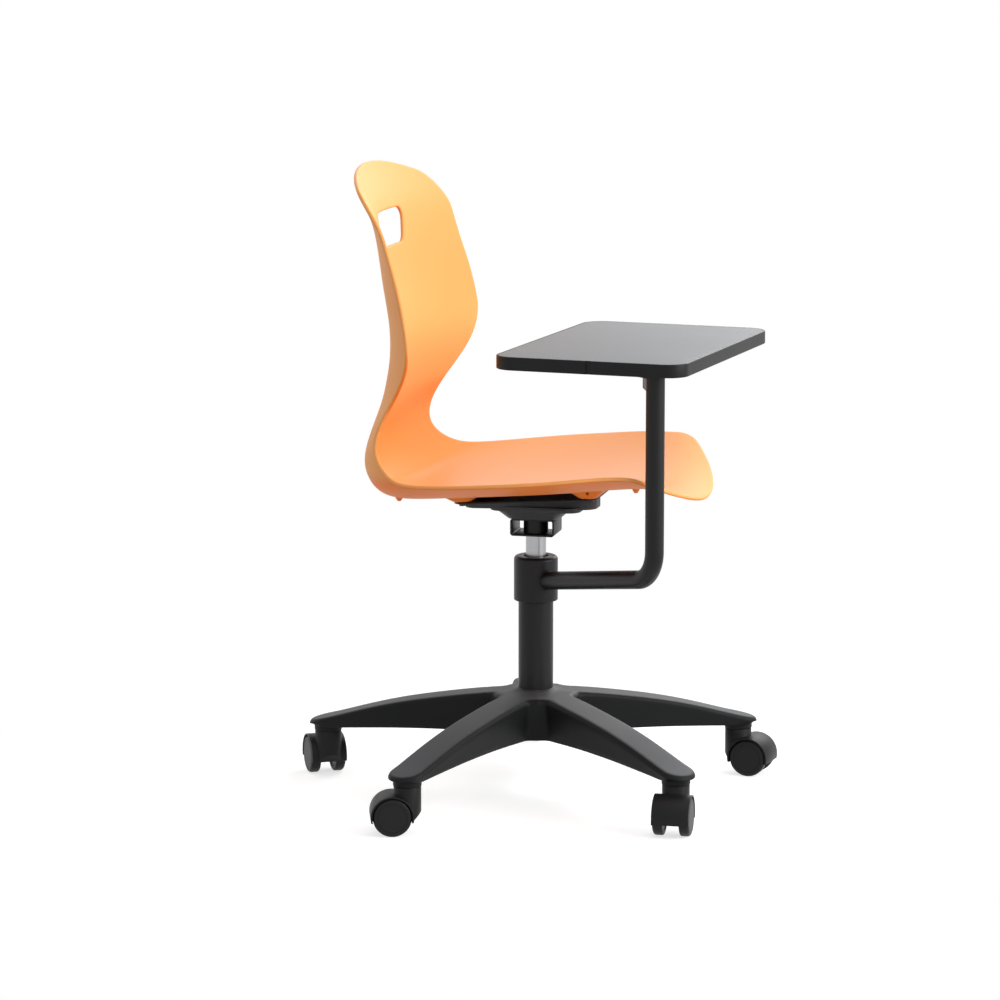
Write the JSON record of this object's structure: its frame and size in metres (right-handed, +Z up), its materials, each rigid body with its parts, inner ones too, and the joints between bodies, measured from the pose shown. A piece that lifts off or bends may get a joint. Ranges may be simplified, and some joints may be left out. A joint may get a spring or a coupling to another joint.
{
  "type": "swivel chair with writing tablet",
  "caption": "Moulded plastic seat and back shell on a gas-lift column and star base with castors, and a rectangular writing tablet on a swinging tube arm.",
  "frame": {"origin": "on the floor, on the axis of the turning column", "axes": "+Z up, the sitter faces -Y, the sitter's right hand and the tablet arm are on the -X side"},
  "size_m": [0.6669, 0.66, 0.868],
  "materials": {
    "orange_shell": "satin polypropylene",
    "base_nylon": "fine textured nylon",
    "castor_nylon": "satin nylon",
    "wheel_nylon": "satin nylon",
    "black_plastic": "matte",
    "black_paint": "black powder coat",
    "black_casting": "black coated casting",
    "chrome_tube": "polished",
    "bearing_steel": "zinc plated",
    "bush_acetal": "plain",
    "tablet_laminate": "grey laminate on particle board",
    "tablet_edge": "satin edge band"
  },
  "bodies": {
    "base": {"star_base": "base_nylon", "column_tube": "black_paint", "guide_bush": "bush_acetal", "thrust_bearing": "bearing_steel", "stem_sockets": "base_nylon", "castor_stem_1": "bearing_steel", "castor_stem_2": "bearing_steel", "castor_stem_3": "bearing_steel", "castor_stem_4": "bearing_steel", "castor_stem_5": "bearing_steel"},
    "lift_rod": {"piston_rod": "chrome_tube", "piston_head": "bearing_steel", "rod_clip": "bearing_steel"},
    "seat": {"pressure_tube": "chrome_tube", "seat_shell": "orange_shell", "seat_plate": "black_paint", "mechanism_body": "black_casting", "mechanism_cage": "black_paint", "plate_screws": "bearing_steel", "lever_pin": "bearing_steel"},
    "lever": {"lever_rod": "bearing_steel", "lever_grip": "black_plastic"},
    "valve": {"release_pin": "bearing_steel"},
    "arm": {"arm_collar": "black_paint", "collar_liner": "bush_acetal", "arm_tube": "black_paint", "tablet_bracket": "black_paint", "tablet_board": "tablet_laminate", "tablet_edge_band": "tablet_edge", "tablet_screws": "bearing_steel"},
    "castor_1": {"castor_hood_1": "castor_nylon", "castor_axle_1": "bearing_steel"},
    "wheel_left_1": {"wheel_left_1": "wheel_nylon"},
    "wheel_right_1": {"wheel_right_1": "wheel_nylon"},
    "castor_2": {"castor_hood_2": "castor_nylon", "castor_axle_2": "bearing_steel"},
    "wheel_left_2": {"wheel_left_2": "wheel_nylon"},
    "wheel_right_2": {"wheel_right_2": "wheel_nylon"},
    "castor_3": {"castor_hood_3": "castor_nylon", "castor_axle_3": "bearing_steel"},
    "wheel_left_3": {"wheel_left_3": "wheel_nylon"},
    "wheel_right_3": {"wheel_right_3": "wheel_nylon"},
    "castor_4": {"castor_hood_4": "castor_nylon", "castor_axle_4": "bearing_steel"},
    "wheel_left_4": {"wheel_left_4": "wheel_nylon"},
    "wheel_right_4": {"wheel_right_4": "wheel_nylon"},
    "castor_5": {"castor_hood_5": "castor_nylon", "castor_axle_5": "bearing_steel"},
    "wheel_left_5": {"wheel_left_5": "wheel_nylon"},
    "wheel_right_5": {"wheel_right_5": "wheel_nylon"}
  },
  "joints": [
    {"name": "seat_swivel", "type": "hinge", "parent": "base", "child": "lift_rod", "pos_m": [0, 0, 0.2], "axis": [0, 0, 1], "continuous": true},
    {"name": "gas_lift", "type": "slide", "parent": "lift_rod", "child": "seat", "axis": [0, 0, 1], "range_m": [0, 0.098]},
    {"name": "arm_swing", "type": "hinge", "parent": "lift_rod", "child": "arm", "pos_m": [0, 0, 0.299], "axis": [0, 0, 1], "range_deg": [-50, 65]},
    {"name": "height_lever", "type": "hinge", "parent": "seat", "child": "lever", "pos_m": [0.026, 0, 0.4066], "axis": [0, -1, 0], "range_deg": [0, 5], "stiffness_Nm_per_rad": 1.5, "springref_deg": -5.73},
    {"name": "release_valve", "type": "slide", "parent": "seat", "child": "valve", "axis": [0, 0, -1], "range_m": [0, 0.0024]},
    {"name": "castor_swivel_1", "type": "hinge", "parent": "base", "child": "castor_1", "pos_m": [0.29445, 0.0756, 0.0647], "axis": [0, 0, 1], "continuous": true},
    {"name": "wheel_left_spin_1", "type": "hinge", "parent": "castor_1", "child": "wheel_left_1", "pos_m": [0.31542, 0.0767, 0.026], "axis": [-0.0523, 0.9986, 0], "continuous": true},
    {"name": "wheel_right_spin_1", "type": "hinge", "parent": "castor_1", "child": "wheel_right_1", "pos_m": [0.31542, 0.0767, 0.026], "axis": [-0.0523, 0.9986, 0], "continuous": true},
    {"name": "castor_swivel_2", "type": "hinge", "parent": "base", "child": "castor_2", "pos_m": [0.01909, 0.3034, 0.0647], "axis": [0, 0, 1], "continuous": true},
    {"name": "wheel_left_spin_2", "type": "hinge", "parent": "castor_2", "child": "wheel_left_2", "pos_m": [0.03728, 0.3139, 0.026], "axis": [-0.5, 0.866, 0], "continuous": true},
    {"name": "wheel_right_spin_2", "type": "hinge", "parent": "castor_2", "child": "wheel_right_2", "pos_m": [0.03728, 0.3139, 0.026], "axis": [-0.5, 0.866, 0], "continuous": true},
    {"name": "castor_swivel_3", "type": "hinge", "parent": "base", "child": "castor_3", "pos_m": [-0.28265, 0.11191, 0.0647], "axis": [0, 0, 1], "continuous": true},
    {"name": "wheel_left_spin_3", "type": "hinge", "parent": "castor_3", "child": "wheel_left_3", "pos_m": [-0.28879, 0.13199, 0.026], "axis": [-0.9563, -0.2924, 0], "continuous": true},
    {"name": "wheel_right_spin_3", "type": "hinge", "parent": "castor_3", "child": "wheel_right_3", "pos_m": [-0.28879, 0.13199, 0.026], "axis": [-0.9563, -0.2924, 0], "continuous": true},
    {"name": "castor_swivel_4", "type": "hinge", "parent": "base", "child": "castor_4", "pos_m": [-0.19378, -0.23424, 0.0647], "axis": [0, 0, 1], "continuous": true},
    {"name": "wheel_left_spin_4", "type": "hinge", "parent": "castor_4", "child": "wheel_left_4", "pos_m": [-0.21477, -0.2346, 0.026], "axis": [0.0175, -0.9998, 0], "continuous": true},
    {"name": "wheel_right_spin_4", "type": "hinge", "parent": "castor_4", "child": "wheel_right_4", "pos_m": [-0.21477, -0.2346, 0.026], "axis": [0.0175, -0.9998, 0], "continuous": true},
    {"name": "castor_swivel_5", "type": "hinge", "parent": "base", "child": "castor_5", "pos_m": [0.16289, -0.25668, 0.0647], "axis": [0, 0, 1], "continuous": true},
    {"name": "wheel_left_spin_5", "type": "hinge", "parent": "castor_5", "child": "wheel_left_5", "pos_m": [0.15961, -0.27742, 0.026], "axis": [0.9877, -0.1564, 0], "continuous": true},
    {"name": "wheel_right_spin_5", "type": "hinge", "parent": "castor_5", "child": "wheel_right_5", "pos_m": [0.15961, -0.27742, 0.026], "axis": [0.9877, -0.1564, 0], "continuous": true}
  ],
  "couplings": [
    {"joint": "release_valve", "follows": "height_lever", "m_per_rad": 0.026}
  ]
}
